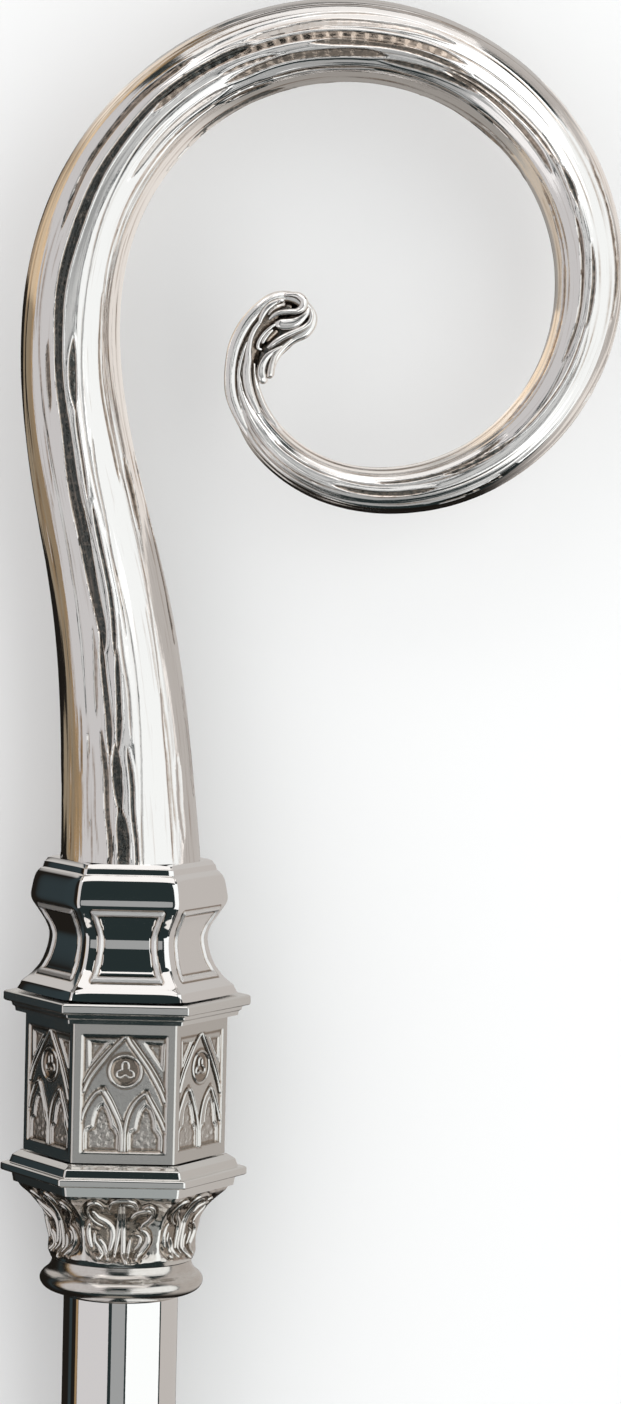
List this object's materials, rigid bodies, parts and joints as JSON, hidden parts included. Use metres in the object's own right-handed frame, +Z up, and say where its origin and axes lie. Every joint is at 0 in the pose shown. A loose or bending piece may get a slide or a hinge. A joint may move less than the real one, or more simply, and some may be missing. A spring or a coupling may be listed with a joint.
{
  "type": "bishop crosier",
  "caption": "Silver-plated bishop's crosier lying at rest: bark-textured crook ending in a curled leaf, six-sided knop with tracery panels, plain round shaft and turned foot.",
  "frame": {"origin": "middle of the whole staff's box, on the surface that it lies on", "axes": "+Y along the shaft from foot to crook, +X the way the crook bends, +Z up from the surface"},
  "size_m": [0.1464, 1.8, 0.0526],
  "materials": {
    "bark_silver": "polished silver plate with matted grooves",
    "polished_silver": "mirror-polished silver plate",
    "matted_silver": "satin silver plate with punched ground and bright mouldings",
    "carved_silver": "chased silver plate, dark in the hollows",
    "shaft_silver": "mirror-polished silver plate"
  },
  "bodies": {
    "root": {"crook": "bark_silver", "knop_crown": "polished_silver", "upper_cornice": "polished_silver", "tracery_drum": "matted_silver", "lower_cornice": "polished_silver", "leaf_capital": "carved_silver", "neck_ring": "polished_silver", "shaft": "shaft_silver", "foot_ferrule": "polished_silver"}
  },
  "joints": []
}
